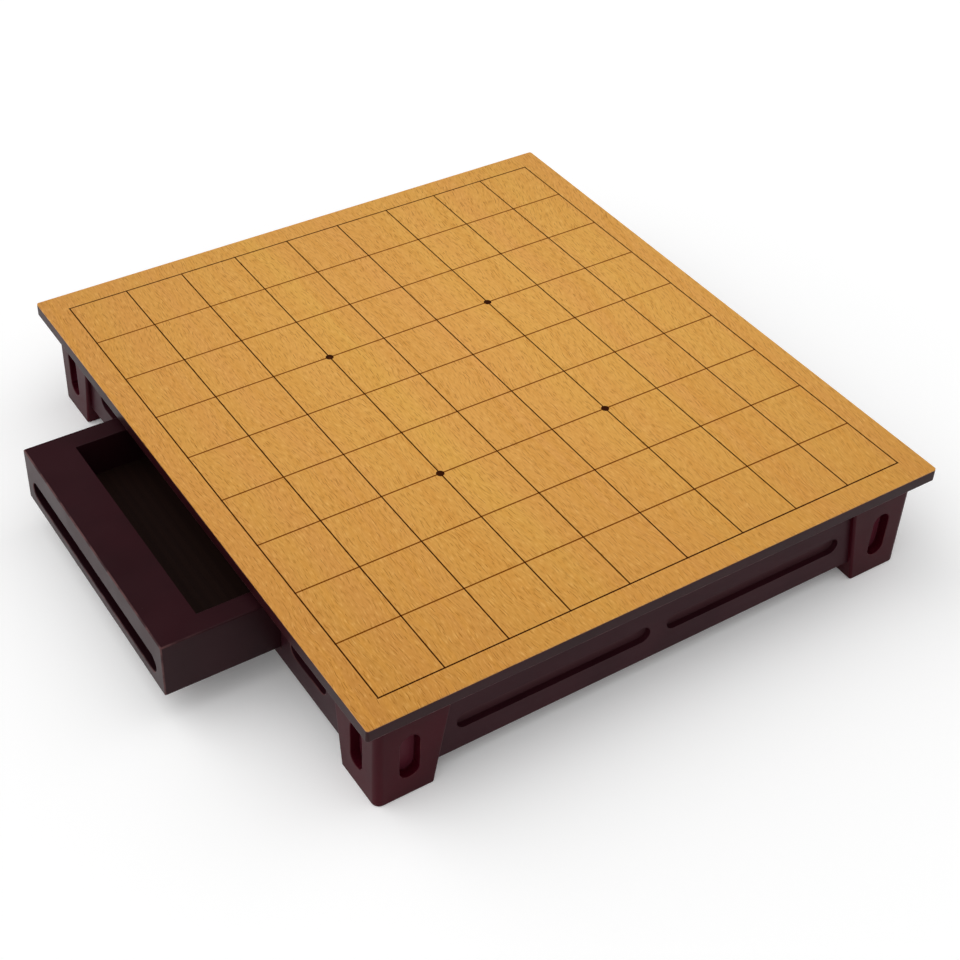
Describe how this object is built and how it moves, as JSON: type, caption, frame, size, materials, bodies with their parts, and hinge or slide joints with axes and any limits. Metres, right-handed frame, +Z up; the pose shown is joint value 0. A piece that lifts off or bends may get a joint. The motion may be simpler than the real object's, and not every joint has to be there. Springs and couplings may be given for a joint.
{
  "type": "shogi board with drawer",
  "caption": "Low wooden shogi board on block legs: a ruled light wood face on a dark lacquered frame, with a piece drawer sliding out of its left side.",
  "frame": {"origin": "centre of the ruled playing face, on its top surface", "axes": "+X to the right along the near edge, +Y to the far edge, +Z up; the drawer slides out towards -X"},
  "size_m": [0.3718, 0.351, 0.0612],
  "materials": {
    "face_veneer": "satin lacquered light wood veneer",
    "line_ink": "dark filled grooves",
    "lacquer_panel": "glossy dark red-black lacquer",
    "lacquer_leg": "glossy maroon lacquer",
    "lacquer_rail": "glossy dark red-black lacquer",
    "lacquer_drawer": "semi-gloss dark red-black lacquer",
    "drawer_back_board": "semi-gloss dark lacquer",
    "drawer_sheet": "dark brown board",
    "plain_wood": "planed bare wood",
    "dowel_wood": "bare hardwood dowel",
    "screw_steel": "zinc plated steel"
  },
  "bodies": {
    "board": {"playing_veneer": "face_veneer", "grid_lines": "line_ink", "top_panel": "lacquer_panel", "leg_front_left": "lacquer_leg", "leg_front_right": "lacquer_leg", "leg_back_left": "lacquer_leg", "leg_back_right": "lacquer_leg", "front_rail": "lacquer_rail", "back_rail": "lacquer_rail", "left_rail": "lacquer_rail", "right_rail": "lacquer_rail", "centre_batten": "plain_wood", "runner_front": "plain_wood", "runner_back": "plain_wood", "cleat_front_left": "plain_wood", "cleat_front_right": "plain_wood", "cleat_back_left": "plain_wood", "cleat_back_right": "plain_wood", "frame_dowels": "dowel_wood", "panel_screws": "screw_steel"},
    "drawer": {"drawer_front": "lacquer_drawer", "drawer_side_front": "lacquer_drawer", "drawer_side_back": "lacquer_drawer", "drawer_back": "drawer_back_board", "drawer_bottom": "drawer_sheet", "drawer_dowels": "dowel_wood"}
  },
  "joints": [
    {"name": "drawer_slide", "type": "slide", "parent": "board", "child": "drawer", "axis": [-1, 0, 0], "range_m": [-0.0584, 0.0621]}
  ]
}
